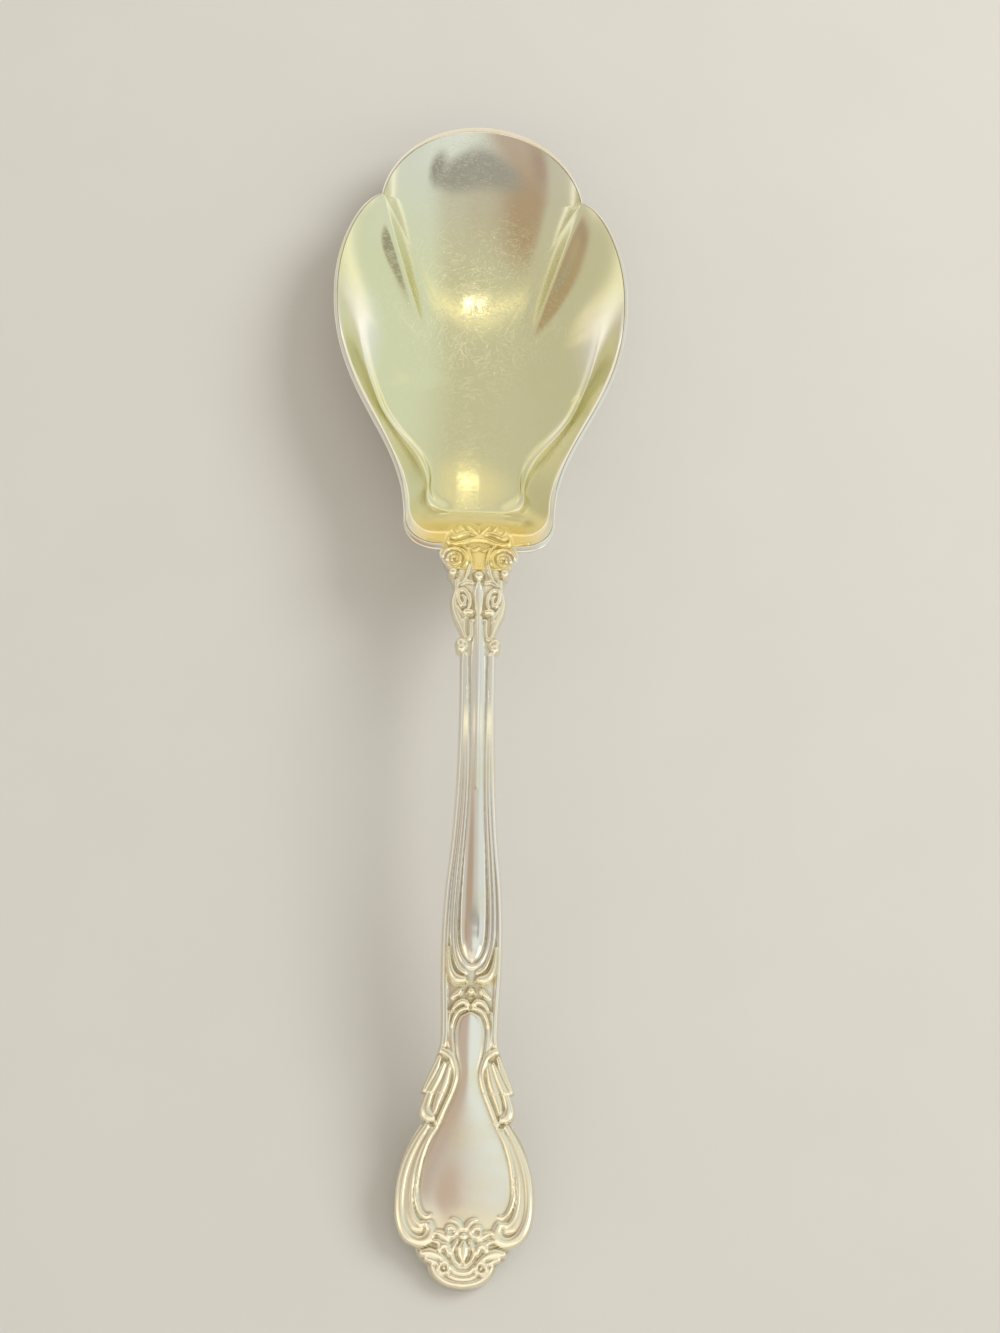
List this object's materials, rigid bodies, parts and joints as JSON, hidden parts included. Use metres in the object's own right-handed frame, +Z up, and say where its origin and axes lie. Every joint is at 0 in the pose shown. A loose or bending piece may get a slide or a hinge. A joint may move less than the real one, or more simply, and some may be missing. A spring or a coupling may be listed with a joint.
{
  "type": "casserole spoon",
  "caption": "Large silver serving spoon with a lobed, pleated shell bowl, gilt inside, and an arched handle with a fluted stem, scrolled borders and a plain cartouche.",
  "frame": {"origin": "on the table, under the middle of the spoon's length and width", "axes": "+Y from the handle's end to the bowl's tip, +X to the right seen from above, +Z up from the table"},
  "size_m": [0.056, 0.222, 0.0224],
  "materials": {
    "bowl_silver": "polished, lightly worn",
    "gilt": "thin gold wash, worn and scratched",
    "handle_silver": "polished, toned in the recesses",
    "crest_gilt": "gold wash over relief",
    "solder": "hard solder"
  },
  "bodies": {
    "root": {"bowl": "bowl_silver", "gilt_lining": "gilt", "handle": "handle_silver", "neck_crest": "crest_gilt", "heel_drop": "bowl_silver", "solder_seam": "solder"}
  },
  "joints": []
}
